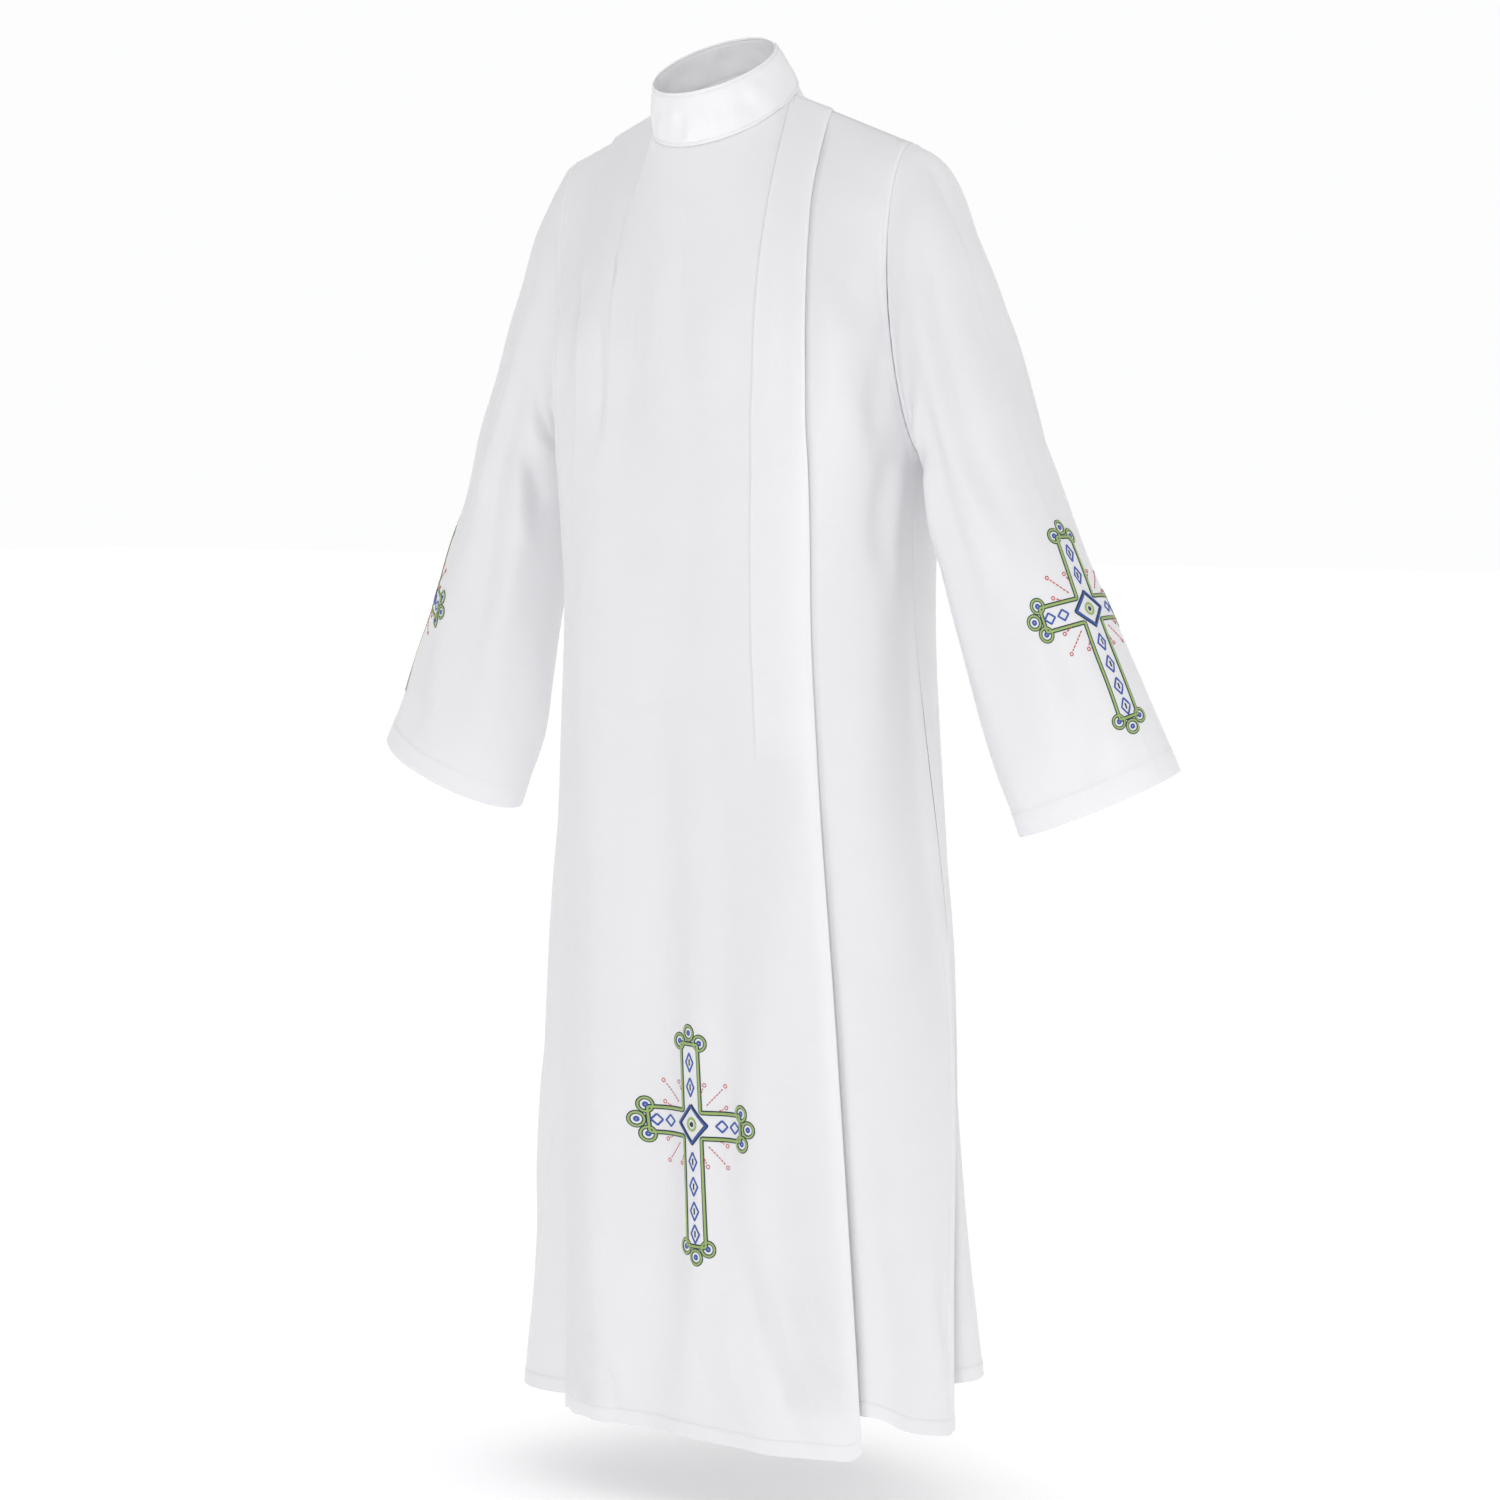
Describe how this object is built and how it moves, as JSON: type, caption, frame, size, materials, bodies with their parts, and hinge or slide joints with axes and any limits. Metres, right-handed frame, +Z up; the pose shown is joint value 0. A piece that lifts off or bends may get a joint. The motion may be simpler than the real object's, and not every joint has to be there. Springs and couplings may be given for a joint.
{
  "type": "priest robe",
  "caption": "Ankle-length white clergy robe with a stand collar, a lapped front, a deep pleat, wide set-in sleeves and side vents, filled out as worn.",
  "frame": {"origin": "between the shoulders, where the wearer carries the robe, 1.325 m above the front hem", "axes": "+Z up the body, -Y to the front, +X to the wearer's left"},
  "size_m": [0.985, 0.3202, 1.4244],
  "materials": {
    "collar": "matte",
    "front": "matte",
    "front_left": "matte",
    "back": "matte",
    "sleeve_left": "matte",
    "sleeve_right": "matte"
  },
  "bodies": {
    "root": {"collar": "collar", "front": "front", "front_left": "front_left", "back": "back", "sleeve_left": "sleeve_left", "sleeve_right": "sleeve_right"}
  },
  "joints": []
}
